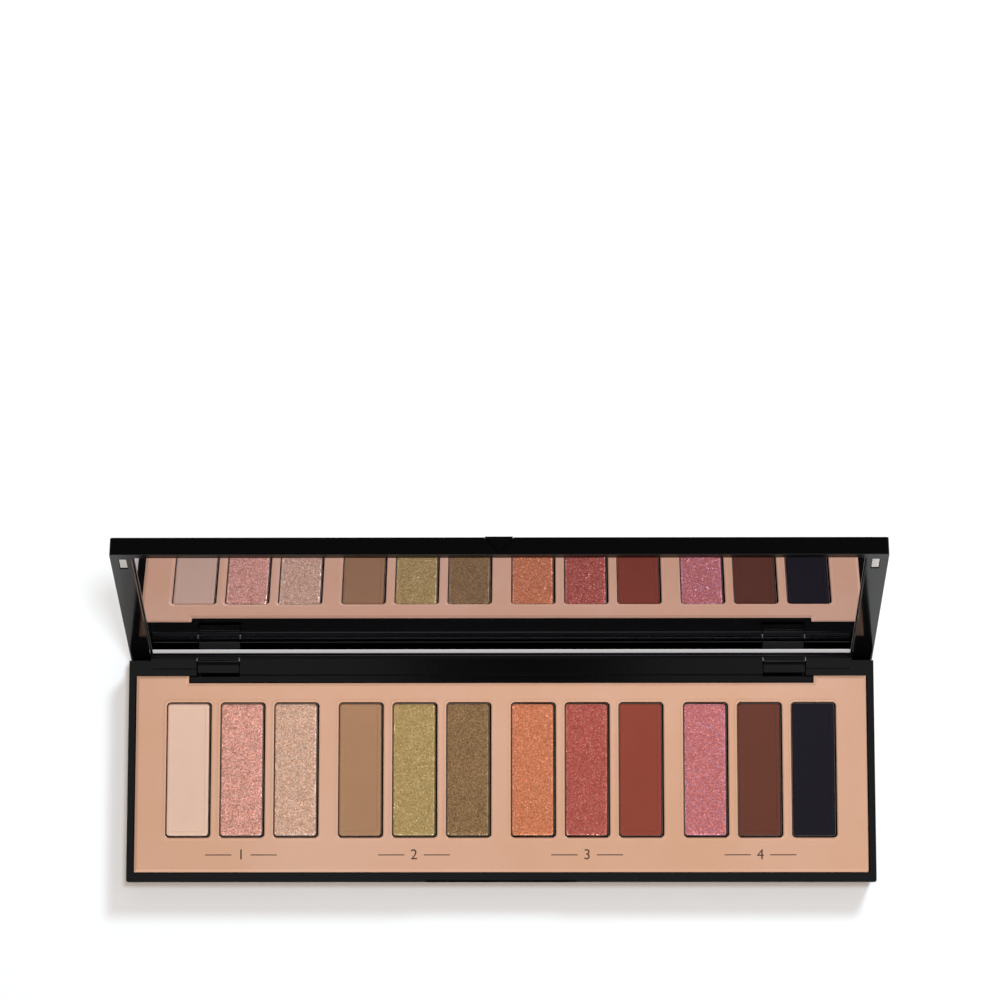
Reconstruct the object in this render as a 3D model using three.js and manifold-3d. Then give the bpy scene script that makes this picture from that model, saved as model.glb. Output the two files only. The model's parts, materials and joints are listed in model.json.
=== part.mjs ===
// Eyeshadow palette: a slim black compact with twelve pans and a mirror lid, standing open.
// Millimetres, +Z up, +X to the right, +Y to the back, where the hinge is.
// The origin is the centre of the base's underside. Every group below counts Y from the front edge.
import * as THREE from 'three';
import { mergeVertices } from 'three/addons/utils/BufferGeometryUtils.js';
import Module from 'manifold-3d';

const wasm = await Module();
wasm.setup();

// Case
const CASE_W = 186;
const CASE_D = 58.4;
const BASE_H = 9;
const FRONT_LIP = 0.6;      // the base's rim stands this far in front of the closed lid
const SIDE_DRAFT = 0.7;     // the base's walls lean in by this much towards the foot
const CORNER_R = 0.6;
const EDGE_BEVEL = 0.15;
const RIM = 1.65;
const FLOOR = 1.2;
const FIT = 0.3;            // clearance where two pieces meet

// Hinge: the axis lies just under the rim, near the back edge
const HINGE_Y = 55;
const HINGE_Z = BASE_H - 1.05;
const LID_OPEN = THREE.MathUtils.degToRad(108.5);
const BARREL_R = 1.7;
const PIN_R = 0.6;
const BORE_R = 0.85;
const DECK_HALF = 65.3;     // the centre barrel's half width
const KNUCKLE_IN = 65.6;
const KNUCKLE_OUT = 75.85;
const LUG_IN = 76.15;
const LUG_OUT = 87.5;
const LUG_FRONT = 52.5;
const DECK_FRONT = 51;
const TOE_REACH = 3.3;      // the knuckle's stop toe, measured forward from the axis
const BACK_WALL_Y = 54.7;   // the upper back wall, in front of the lid's swing
const PIN_IN = 61;
const PIN_RECESS = 0.2;     // the pin ends this far inside the lug's outer face
const DECK_BORE_IN = 60.5;
const WEB_TOP = 3;          // the knuckle's web, over the axis
const WEB_STEP = 1.5;
const TOE_HALF = 0.8;

// Face plate and pans
const PLATE_T = 0.8;
const PLATE_TOP = BASE_H - 0.2;
const PLATE_HALF = 91.1;
const PLATE_FRONT = 1.87;
const PLATE_BACK = 50.85;
const NOTCH_HALF = 78.05;   // the plate steps forward here to clear the hinge deck
const NOTCH_BACK = 49.05;
const WINDOW_W = 11.25;
const WINDOW_L = 33.85;
const WINDOW_R = 1;
const WINDOW_Y = 27.375;    // the windows' centre line
const TRIOS = 4;
const PANS_PER_TRIO = 3;
const PAN_PITCH = 13.43;
const TRIO_PITCH = 42.95;
const PAN_TOP = PLATE_TOP - 0.4;
const PAN_H = 3.8;
const PAN_WALL = 0.2;
const PAN_GAP = 0.3;        // between a pan and its window
const PAN_SHIFT = 0.1;      // the pans sit this far to the left and to the back in their windows
const POWDER_TOP = PAN_TOP - 0.05;
const POWDER_GAP = 0.06;
const PLATE_CORNER = 0.4;   // the cavity's corner radius, under the plate's square corner
const TRAY_CORNER = 0.8;
const TRAY_TOP = PLATE_TOP - PLATE_T - 0.25;

// Lid, measured from the hinge axis with the lid closed: back is +Y, up is +Z
const LID_T = 4.65;
const LID_FACE = 1.3;       // the flange's height over the axis
const LID_BACK = CASE_D - HINGE_Y;
const FLANGE_FRONT = 1.8;
const FLANGE_SIDE = 5.1;
const LID_BACK_WALL = 0.55;
const RECESS = 3.5;
const MIRROR_Z = LID_FACE + 1.95;
const MIRROR_T = 1.05;
const TAPE_T = 0.2;
const MIRROR_INSET = 0.15;
const TAPE_INSET = 2;
const TAB_HALF = 3.4;
const TAB_TIP = LID_FACE + 0.45;
const TAB_PROUD = 0.45;
const TAB_SEAT = 0.5;
const TAB_GAP = 0.15;

// Finger scoop in the front wall, with a chamfer on the rim over it
const SCOOP_HALF = 18.6;
const SCOOP_DEPTH = 0.25;
const SCOOP_FLOOR = 4.4;
const SCOOP_TOP = BASE_H - 1;
const SCOOP_CHAMFER = 0.55;

// Label pocket in the underside
const LABEL_HALF = 64;
const LABEL_FRONT = 33;
const LABEL_BACK = 51;
const LABEL_POCKET = 0.3;
const LABEL_LOW = 0.05;
const LABEL_HIGH = 0.2;

// Closure
const MAGNET_W = 1.7;
const MAGNET_L = 4.7;
const MAGNET_T = 1;
const MAGNET_X = 90;
const MAGNET_Y = 5;
const MAGNET_PLAY = 0.15;

const COLOURS = {
  gloss: 0x0d0d10, satin: 0x1c1c1e, plate: 0xd9ad94, steel: 0xc4c6ca,
  tin: 0xb9b7b2, mirror: 0xe4e8ec, tape: 0xd8d8d4, label: 0xe9dccf,
};
const POWDER_COLOURS = [
  0xdebea8, 0xc8877a, 0xcdac91, 0xaa8462, 0xaa985c, 0x846b48,
  0xd07c56, 0xb65850, 0x914637, 0xc8737a, 0x693c30, 0x202026,
];

function finish(color, roughness, metalness = 0) {
  return new THREE.MeshStandardMaterial({ color, roughness, metalness });
}

const gloss = finish(COLOURS.gloss, 0.12);
const satin = finish(COLOURS.satin, 0.45);
const steel = finish(COLOURS.steel, 0.25, 1);
const tin = finish(COLOURS.tin, 0.35, 1);

// ---- solids ----

function solid(geometry) {
  const bare = geometry.index ? geometry.toNonIndexed() : geometry.clone();
  bare.deleteAttribute('normal');
  bare.deleteAttribute('uv');
  const merged = mergeVertices(bare, 1e-4);
  const vertProperties = new Float32Array(merged.attributes.position.array);
  const triVerts = new Uint32Array(merged.index.array);
  return new wasm.Manifold(new wasm.Mesh({ numProp: 3, vertProperties, triVerts }));
}

function geometryOf(manifold) {
  const mesh = manifold.getMesh();
  const geometry = new THREE.BufferGeometry();
  geometry.setAttribute('position', new THREE.BufferAttribute(new Float32Array(mesh.vertProperties), 3));
  geometry.setIndex(new THREE.BufferAttribute(new Uint32Array(mesh.triVerts), 1));
  geometry.computeVertexNormals();
  return geometry;
}

function box(x0, x1, y0, y1, z0, z1) {
  const geometry = new THREE.BoxGeometry(x1 - x0, y1 - y0, z1 - z0);
  return geometry.translate((x0 + x1) / 2, (y0 + y1) / 2, (z0 + z1) / 2);
}

function roundedRect(x0, x1, y0, y1, r) {
  const outline = new THREE.Path();
  outline.moveTo(x0 + r, y0);
  outline.lineTo(x1 - r, y0);
  outline.absarc(x1 - r, y0 + r, r, -Math.PI / 2, 0, false);
  outline.lineTo(x1, y1 - r);
  outline.absarc(x1 - r, y1 - r, r, 0, Math.PI / 2, false);
  outline.lineTo(x0 + r, y1);
  outline.absarc(x0 + r, y1 - r, r, Math.PI / 2, Math.PI, false);
  outline.lineTo(x0, y0 + r);
  outline.absarc(x0 + r, y0 + r, r, Math.PI, 1.5 * Math.PI, false);
  return outline;
}

// A plan outline in X and Y, raised from z0 to z1, with bevelled edges where bevel is given.
function slab(outline, z0, z1, bevel = 0, holes = []) {
  const shape = new THREE.Shape(outline.getPoints(6));
  shape.holes = holes;
  const geometry = new THREE.ExtrudeGeometry(shape, {
    depth: z1 - z0 - 2 * bevel, curveSegments: 6, bevelEnabled: bevel > 0,
    bevelThickness: bevel, bevelSize: bevel, bevelOffset: -bevel, bevelSegments: 2,
  });
  return geometry.translate(0, 0, z0 + bevel);
}

// A side profile in Y and Z, drawn out along X from x0 to x1.
function barX(profile, x0, x1) {
  const geometry = new THREE.ExtrudeGeometry(profile, { depth: x1 - x0, curveSegments: 12, bevelEnabled: false });
  const basis = new THREE.Matrix4().makeBasis(
    new THREE.Vector3(0, 1, 0), new THREE.Vector3(0, 0, 1), new THREE.Vector3(1, 0, 0));
  return geometry.applyMatrix4(basis.setPosition(x0, 0, 0));
}

function polygon(points) {
  return new THREE.Shape(points.map(([u, v]) => new THREE.Vector2(u, v)));
}

function rodX(radius, x0, x1, y, z) {
  const geometry = new THREE.CylinderGeometry(radius, radius, x1 - x0, 24);
  return geometry.rotateZ(Math.PI / 2).translate((x0 + x1) / 2, y, z);
}

// The same shape on the left and on the right, given its inner and outer distance from the middle.
function bothSides(make, inner, outer) {
  return [make(-outer, -inner), make(inner, outer)].map(solid);
}

function cutAll(body, cutters) {
  return cutters.reduce((left, cutter) => left.subtract(cutter), body);
}

function joinAll(body, pieces) {
  return pieces.reduce((left, piece) => left.add(piece), body);
}

function part(name, geometry, material) {
  const mesh = new THREE.Mesh(geometry, material);
  mesh.name = name;
  return mesh;
}

// ---- base ----

function windowCentres() {
  const centres = [];
  for (let trio = 0; trio < TRIOS; trio += 1) {
    for (let pan = 0; pan < PANS_PER_TRIO; pan += 1) {
      const trioX = (trio - (TRIOS - 1) / 2) * TRIO_PITCH;
      centres.push(trioX + (pan - (PANS_PER_TRIO - 1) / 2) * PAN_PITCH);
    }
  }
  return centres;
}

// A height on the sloped ledge that the open lid's back edge comes down to.
function ledgeHeight(y) {
  const along = -(LID_BACK + FIT);
  const out = (y - HINGE_Y + along * Math.cos(LID_OPEN)) / Math.sin(LID_OPEN);
  return HINGE_Z + along * Math.sin(LID_OPEN) + out * Math.cos(LID_OPEN);
}

// The space behind the upper back wall, which the lid's back edge swings through.
function swingSpace() {
  const back = CASE_D + 2;
  const profile = polygon([
    [BACK_WALL_Y, ledgeHeight(BACK_WALL_Y)], [back, ledgeHeight(back)],
    [back, BASE_H + 1], [BACK_WALL_Y, BASE_H + 1],
  ]);
  return solid(barX(profile, -CASE_W, CASE_W));
}

// A barrel with a flat deck in front of it, as a side profile.
function barrelProfile(front, bottom) {
  const profile = new THREE.Shape();
  profile.moveTo(front, bottom);
  profile.lineTo(HINGE_Y, bottom);
  profile.absarc(HINGE_Y, HINGE_Z, BARREL_R, -Math.PI / 2, Math.PI / 2, false);
  profile.lineTo(front + EDGE_BEVEL, HINGE_Z + BARREL_R);
  profile.lineTo(front, HINGE_Z + BARREL_R - EDGE_BEVEL);
  return profile;
}

// The plan outline of both hinge lugs, with each lug's front outer corner rounded.
function lugPlan() {
  return slab(roundedRect(-LUG_OUT, LUG_OUT, LUG_FRONT, CASE_D, CORNER_R), FLOOR, BASE_H + 2);
}

function hingeLugs() {
  const profile = barrelProfile(LUG_FRONT, HINGE_Z - BARREL_R);
  const plan = solid(lugPlan());
  return bothSides((x0, x1) => barX(profile, x0, x1), LUG_IN, LUG_OUT).map((lug) => lug.intersect(plan));
}

function fingerScoops() {
  const outside = -FRONT_LIP - 2;
  const recess = slab(roundedRect(-SCOOP_HALF, SCOOP_HALF, outside, SCOOP_DEPTH, CORNER_R), SCOOP_FLOOR, SCOOP_TOP);
  const chamferEnd = SCOOP_CHAMFER - FRONT_LIP;
  const chamfer = polygon([
    [chamferEnd + 1, BASE_H + 1], [outside, BASE_H + 1], [outside, BASE_H + outside - chamferEnd],
  ]);
  return [recess, barX(chamfer, -SCOOP_HALF, SCOOP_HALF)].map(solid);
}

function labelPocket(inset, z0, z1) {
  return slab(roundedRect(
    -LABEL_HALF + inset, LABEL_HALF - inset, LABEL_FRONT + inset, LABEL_BACK - inset, CORNER_R), z0, z1);
}

// The base's outside: full size at the rim, and a little smaller at the foot.
function draftedBlock() {
  const layer = (inset, z0, z1) => solid(slab(roundedRect(
    -CASE_W / 2 + inset, CASE_W / 2 - inset, -FRONT_LIP + inset, CASE_D - inset, CORNER_R), z0, z1, EDGE_BEVEL));
  return wasm.Manifold.hull([layer(0, BASE_H - RIM, BASE_H), layer(SIDE_DRAFT, 0, FLOOR)]);
}

function baseShell() {
  const outer = draftedBlock();
  const half = CASE_W / 2 - RIM;
  const cavityBack = DECK_FRONT - 0.1;
  const cavity = solid(slab(roundedRect(-half, half, RIM, cavityBack, PLATE_CORNER), FLOOR, BASE_H + 1));
  const deckSeat = solid(box(
    -KNUCKLE_IN, KNUCKLE_IN, cavityBack - 1, CASE_D, HINGE_Z - BARREL_R - FIT, BASE_H + 2));
  const toeFloor = HINGE_Z - TOE_REACH - 0.5;
  const pockets = bothSides(
    (x0, x1) => box(x0, x1, cavityBack - 1, CASE_D, toeFloor, BASE_H + 2), DECK_HALF, LUG_IN);
  const bores = bothSides((x0, x1) => rodX(BORE_R, x0, x1, HINGE_Y, HINGE_Z), DECK_HALF, LUG_OUT + 1);
  const label = solid(labelPocket(0, -1, LABEL_POCKET));
  const body = cutAll(outer, [cavity, swingSpace(), label, ...fingerScoops()]);
  return cutAll(joinAll(body, hingeLugs()), [deckSeat, ...pockets, ...bores]);
}

function hingeDeck() {
  const profile = barrelProfile(DECK_FRONT, HINGE_Z - BARREL_R);
  const deck = solid(barX(profile, -DECK_HALF, DECK_HALF));
  const ledgeTop = PLATE_TOP - 0.1;
  const ledgeBottom = PLATE_TOP - PLATE_T;
  const ledgeFront = NOTCH_BACK + FIT;
  const ledge = solid(box(
    -NOTCH_HALF + 0.15, NOTCH_HALF - 0.15, ledgeFront, DECK_FRONT - 0.4, ledgeBottom, ledgeTop));
  const joint = solid(box(-DECK_HALF, DECK_HALF, ledgeFront, DECK_FRONT + 0.1, ledgeBottom, ledgeTop));
  const bores = bothSides((x0, x1) => rodX(BORE_R, x0, x1, HINGE_Y, HINGE_Z), DECK_BORE_IN, DECK_HALF + 1);
  return cutAll(joinAll(deck, [ledge, joint]), bores);
}

function panTray() {
  const half = CASE_W / 2 - RIM - FIT;
  const bottom = FLOOR + FIT;
  const block = solid(slab(roundedRect(-half, half, RIM + FIT, DECK_FRONT - 0.4, TRAY_CORNER), bottom, TRAY_TOP));
  const wellHalf = WINDOW_W / 2;
  const wellLength = WINDOW_L / 2;
  const wellFloor = PAN_TOP - PAN_H - FIT;
  const wells = windowCentres().map((x) => solid(box(
    x - wellHalf, x + wellHalf, WINDOW_Y - wellLength, WINDOW_Y + wellLength, wellFloor, BASE_H)));
  const magnetWells = bothSides((x0, x1) => box(
    x0, x1, MAGNET_Y - MAGNET_L / 2 - MAGNET_PLAY, MAGNET_Y + MAGNET_L / 2 + MAGNET_PLAY,
    TRAY_TOP - MAGNET_T - 0.5, BASE_H), MAGNET_X - 1.2, MAGNET_X + 0.8);
  return cutAll(block, [...wells, ...magnetWells]);
}

function facePlate() {
  const outline = new THREE.Path([
    [-PLATE_HALF, PLATE_FRONT], [PLATE_HALF, PLATE_FRONT], [PLATE_HALF, PLATE_BACK],
    [NOTCH_HALF, PLATE_BACK], [NOTCH_HALF, NOTCH_BACK], [-NOTCH_HALF, NOTCH_BACK],
    [-NOTCH_HALF, PLATE_BACK], [-PLATE_HALF, PLATE_BACK],
  ].map(([x, y]) => new THREE.Vector2(x, y)));
  const holes = windowCentres().map((x) => roundedRect(
    x - WINDOW_W / 2, x + WINDOW_W / 2, WINDOW_Y - WINDOW_L / 2, WINDOW_Y + WINDOW_L / 2, WINDOW_R));
  return slab(outline, PLATE_TOP - PLATE_T, PLATE_TOP, 0, holes);
}

function panOutline(inset) {
  const halfWidth = WINDOW_W / 2 - inset;
  const halfLength = WINDOW_L / 2 - inset;
  return roundedRect(-halfWidth, halfWidth, -halfLength, halfLength, WINDOW_R - Math.min(inset, 0.6));
}

function pan() {
  const bottom = PAN_TOP - PAN_H;
  const outer = solid(slab(panOutline(PAN_GAP), bottom, PAN_TOP));
  return outer.subtract(solid(slab(panOutline(PAN_GAP + PAN_WALL), bottom + PAN_WALL, PAN_TOP + 1)));
}

function powder() {
  const bottom = PAN_TOP - PAN_H + PAN_WALL + POWDER_GAP;
  return slab(panOutline(PAN_GAP + PAN_WALL + POWDER_GAP), bottom, POWDER_TOP);
}

function magnetBlock(thickness) {
  return slab(roundedRect(-MAGNET_W / 2, MAGNET_W / 2, -MAGNET_L / 2, MAGNET_L / 2, 0.4), 0, thickness);
}

function placed(mesh, x, y, z) {
  mesh.position.set(x, y, z);
  return mesh;
}

function buildBase() {
  const base = new THREE.Group();
  base.add(part('base_shell', geometryOf(baseShell()), gloss));
  base.add(part('pan_tray', geometryOf(panTray()), satin));
  base.add(part('hinge_deck', geometryOf(hingeDeck()), satin));
  base.add(part('face_plate', facePlate(), finish(COLOURS.plate, 0.4)));
  base.add(part('base_label', labelPocket(FIT, LABEL_LOW, LABEL_HIGH), finish(COLOURS.label, 0.6)));
  windowCentres().forEach((x, index) => {
    const number = String(index + 1).padStart(2, '0');
    const colour = finish(POWDER_COLOURS[index], 0.85);
    const pieces = [part(`pan_${number}`, geometryOf(pan()), tin), part(`powder_${number}`, powder(), colour)];
    pieces.forEach((piece) => base.add(placed(piece, x - PAN_SHIFT, WINDOW_Y + PAN_SHIFT, 0)));
  });
  for (const [side, sign] of [['left', -1], ['right', 1]]) {
    const pinOut = LUG_OUT - PIN_RECESS;
    const pin = sign < 0
      ? rodX(PIN_R, -pinOut, -PIN_IN, HINGE_Y, HINGE_Z)
      : rodX(PIN_R, PIN_IN, pinOut, HINGE_Y, HINGE_Z);
    base.add(part(`hinge_pin_${side}`, pin, steel));
    const magnet = part(`base_magnet_${side}`, magnetBlock(MAGNET_T), steel);
    base.add(placed(magnet, sign * (MAGNET_X - 0.2), MAGNET_Y, TRAY_TOP - MAGNET_T - 0.2));
  }
  return base;
}

// ---- lid, with its origin on the hinge axis ----

function tabOutline(grow) {
  const halfWidth = TAB_HALF + grow;
  const tip = TAB_TIP - 1.4 * grow;
  return polygon([[-halfWidth, LID_FACE + LID_T], [0, tip], [halfWidth, LID_FACE + LID_T]]);
}

// A front view outline in X and Z, drawn out along Y from y0 to y1.
function barY(outline, y0, y1) {
  const geometry = new THREE.ExtrudeGeometry(outline, { depth: y1 - y0, bevelEnabled: false });
  return geometry.rotateX(Math.PI / 2).translate(0, y1, 0);
}

// A knuckle: the barrel round the pin, the web back to the lid's wall, and the toe that meets the base.
function knuckles(backWall) {
  const web = polygon([
    [0, -BARREL_R / 2], [WEB_STEP, -WEB_STEP / 2], [backWall + 0.2, LID_FACE + 0.1],
    [backWall + 0.2, WEB_TOP], [0.4, BARREL_R * 0.96],
  ]);
  const toe = polygon([[-TOE_REACH, -TOE_HALF + 0.3], [0, -TOE_HALF - 0.1], [0, TOE_HALF + 0.1], [-TOE_REACH, TOE_HALF]]);
  const make = [
    (x0, x1) => rodX(BARREL_R, x0, x1, 0, 0),
    (x0, x1) => barX(web, x0, x1),
    (x0, x1) => barX(toe, x0, x1).rotateX(LID_OPEN),
  ];
  return make.flatMap((shape) => bothSides(shape, KNUCKLE_IN, KNUCKLE_OUT));
}

function lidShell() {
  const top = LID_FACE + LID_T;
  const backWall = LID_BACK - LID_BACK_WALL;
  const outline = roundedRect(-CASE_W / 2, CASE_W / 2, -HINGE_Y, LID_BACK, CORNER_R);
  const outer = solid(slab(outline, LID_FACE, top, EDGE_BEVEL));
  const half = CASE_W / 2 - FLANGE_SIDE;
  const recess = solid(slab(
    roundedRect(-half, half, -HINGE_Y + FLANGE_FRONT, backWall, 0.8), LID_FACE - 1, LID_FACE + RECESS));
  const magnetWells = bothSides((x0, x1) => box(
    x0, x1, MAGNET_Y - HINGE_Y - MAGNET_L / 2 - MAGNET_PLAY, MAGNET_Y - HINGE_Y + MAGNET_L / 2 + MAGNET_PLAY,
    LID_FACE - 1, LID_FACE + MAGNET_T + 0.4), MAGNET_X - 1, MAGNET_X + 1);
  const tabSeat = solid(barY(tabOutline(TAB_GAP), -HINGE_Y - 1, -HINGE_Y + TAB_SEAT));
  const body = cutAll(outer, [recess, tabSeat, ...magnetWells]);
  const bores = bothSides((x0, x1) => rodX(BORE_R, x0, x1, 0, 0), KNUCKLE_IN - 1, KNUCKLE_OUT + 1);
  return cutAll(joinAll(body, knuckles(backWall)), bores);
}

function mirrorPlate(inset, z0, z1) {
  const half = CASE_W / 2 - FLANGE_SIDE - inset;
  const front = -HINGE_Y + FLANGE_FRONT + inset;
  const back = LID_BACK - LID_BACK_WALL - inset;
  return slab(roundedRect(-half, half, front, back, 0.6), z0, z1);
}

function buildLid() {
  const lid = new THREE.Group();
  lid.add(part('lid_shell', geometryOf(lidShell()), gloss));
  lid.add(part('mirror', mirrorPlate(MIRROR_INSET, MIRROR_Z, MIRROR_Z + MIRROR_T), finish(COLOURS.mirror, 0.02, 1)));
  const tapeZ = MIRROR_Z + MIRROR_T + 0.1;
  lid.add(part('mirror_tape', mirrorPlate(TAPE_INSET, tapeZ, tapeZ + TAPE_T), finish(COLOURS.tape, 0.8)));
  const tab = barY(tabOutline(0), -HINGE_Y - TAB_PROUD, -HINGE_Y + TAB_SEAT - TAB_GAP);
  lid.add(part('thumb_tab', tab, gloss));
  for (const [side, sign] of [['left', -1], ['right', 1]]) {
    const magnet = part(`lid_magnet_${side}`, magnetBlock(MAGNET_T), steel);
    lid.add(placed(magnet, sign * MAGNET_X, MAGNET_Y - HINGE_Y, LID_FACE + 0.2));
  }
  lid.position.set(0, HINGE_Y, HINGE_Z);
  lid.rotation.x = -LID_OPEN;
  return lid;
}

// ---- the whole palette, standing open ----

const palette = new THREE.Group();
const assembly = new THREE.Group();
assembly.position.y = -CASE_D / 2;
assembly.add(buildBase(), buildLid());
palette.add(assembly);

export default palette;
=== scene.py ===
"""Eyeshadow palette: a slim black compact with twelve pressed powders, a peach face plate and a mirror lid.

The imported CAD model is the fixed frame. The case mouldings are finished copies of their CAD solids, and the
plate, pans, powders, mirror and small parts are modelled here in the places that the frame gives.
Lengths in the classes are millimetres, and become metres only where a mesh is placed.
"""

import json
import logging
import math
from dataclasses import dataclass
from enum import Enum
from functools import cache

import bmesh
import bpy
from mathutils import Matrix, Vector

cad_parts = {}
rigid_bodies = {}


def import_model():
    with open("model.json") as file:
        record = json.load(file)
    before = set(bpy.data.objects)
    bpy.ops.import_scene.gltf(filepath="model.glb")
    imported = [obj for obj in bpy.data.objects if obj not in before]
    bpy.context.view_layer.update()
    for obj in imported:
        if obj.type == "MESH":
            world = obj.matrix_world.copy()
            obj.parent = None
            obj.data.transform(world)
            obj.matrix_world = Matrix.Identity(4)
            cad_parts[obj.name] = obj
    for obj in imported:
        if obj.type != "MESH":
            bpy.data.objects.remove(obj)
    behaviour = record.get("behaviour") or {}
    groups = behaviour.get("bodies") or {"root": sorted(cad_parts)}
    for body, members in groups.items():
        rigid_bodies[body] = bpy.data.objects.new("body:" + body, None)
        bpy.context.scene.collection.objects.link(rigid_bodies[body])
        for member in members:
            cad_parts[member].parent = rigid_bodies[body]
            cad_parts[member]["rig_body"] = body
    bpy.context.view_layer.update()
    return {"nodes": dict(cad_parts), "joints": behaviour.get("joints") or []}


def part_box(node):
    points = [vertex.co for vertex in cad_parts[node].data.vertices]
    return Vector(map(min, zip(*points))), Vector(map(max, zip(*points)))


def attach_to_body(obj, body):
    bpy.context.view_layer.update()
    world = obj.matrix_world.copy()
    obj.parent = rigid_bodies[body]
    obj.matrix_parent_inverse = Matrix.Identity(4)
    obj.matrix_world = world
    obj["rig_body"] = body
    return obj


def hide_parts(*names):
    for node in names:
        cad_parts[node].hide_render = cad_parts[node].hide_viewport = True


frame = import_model()

MM = 0.001
MERGE = 0.002  # millimetres within which a copied solid's corners are one
COPLANAR = math.radians(0.6)
NOISE = (0.3, 0.7)  # the range that a noise texture mostly fills
LOG = logging.getLogger("palette")
HINGE = frame["joints"][0]
HINGE_POINT = Vector(HINGE["pos_m"])
LID_OPEN = math.radians(HINGE["range_deg"][1])
LID_PLACE = Matrix.Translation(HINGE_POINT) @ Matrix.Rotation(-LID_OPEN, 4, "X")

Pair = tuple[float, float]
Triple = tuple[float, float, float]
Colour = tuple[float, float, float, float]
Piece = bpy.types.Object


class Body(Enum):
    """The rigid bodies that pieces ride on."""

    BASE = "base"
    LID = "lid"


class Effect(Enum):
    """How a pressed powder catches the light."""

    MATTE = "matte"
    SATIN = "satin"
    SHIMMER = "shimmer"


# ---- colours and shader groups ----


def srgb(code: str, gain: float = 1.0) -> Colour:
    """Turns a written colour into scene-linear values.

    Args:
        code: Six hexadecimal digits, red then green then blue.
        gain: A factor on the linear values.

    Returns:
        Red, green, blue and an alpha of 1.
    """
    parts = [int(code[i:i + 2], 16) / 255 for i in (0, 2, 4)]
    linear = [p / 12.92 if p <= 0.04045 else ((p + 0.055) / 1.055) ** 2.4 for p in parts]
    return (linear[0] * gain, linear[1] * gain, linear[2] * gain, 1.0)


class NodeTree:
    """Short calls for filling a shader node tree."""

    def __init__(self, tree: bpy.types.NodeTree) -> None:
        """Wraps an empty tree."""
        self.tree = tree

    def node(self, kind: str, settings: dict | None = None, **inputs: object) -> bpy.types.Node:
        """Adds a node.

        Args:
            kind: The node's type name without the leading ShaderNode.
            settings: Properties of the node itself.
            **inputs: Socket name, with spaces as underscores, to a value or to another node's socket.

        Returns:
            The new node.
        """
        made = self.tree.nodes.new("ShaderNode" + kind)
        for key, value in (settings or {}).items():
            setattr(made, key, value)
        for key, value in inputs.items():
            self.feed(made, key.replace("_", " "), value)
        return made

    def feed(self, node: bpy.types.Node, name: str, value: object) -> None:
        """Sets a socket, or links it where the value is itself a socket.

        Args:
            node: The node.
            name: The socket's name, or at and its number.
            value: A value or another node's socket.
        """
        socket = node.inputs[int(name[3:])] if name.startswith("at ") else node.inputs[name]
        if isinstance(value, bpy.types.NodeSocket):
            self.tree.links.new(value, socket)
        else:
            socket.default_value = value

    def math(self, operation: str, first: object, second: object = 0.0) -> bpy.types.NodeSocket:
        """Adds a Math node and returns its result."""
        return self.node("Math", {"operation": operation}, at_0=first, at_1=second).outputs[0]

    def vector(self, operation: str, **inputs: object) -> bpy.types.NodeSocket:
        """Adds a Vector Math node and returns its vector."""
        return self.node("VectorMath", {"operation": operation}, **inputs).outputs[0]

    def spread(self, value: object, low: float, high: float, to_low: float,
               to_high: float) -> bpy.types.NodeSocket:
        """Maps a value from one range to another, clamped, and returns the result."""
        return self.node("MapRange", {"clamp": True}, at_0=value, at_1=low, at_2=high, at_3=to_low,
                         at_4=to_high).outputs[0]

    def blend(self, factor: object, first: object, second: object, mode: str = "MIX") -> bpy.types.NodeSocket:
        """Mixes two colours and returns the result."""
        kind = {"data_type": "RGBA", "blend_type": mode}
        return self.node("Mix", kind, at_0=factor, at_6=first, at_7=second).outputs[2]

    def place(self) -> bpy.types.NodeSocket:
        """Returns the Object coordinates, which are the row frame's metres at rest."""
        return self.node("TexCoord").outputs["Object"]


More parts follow.
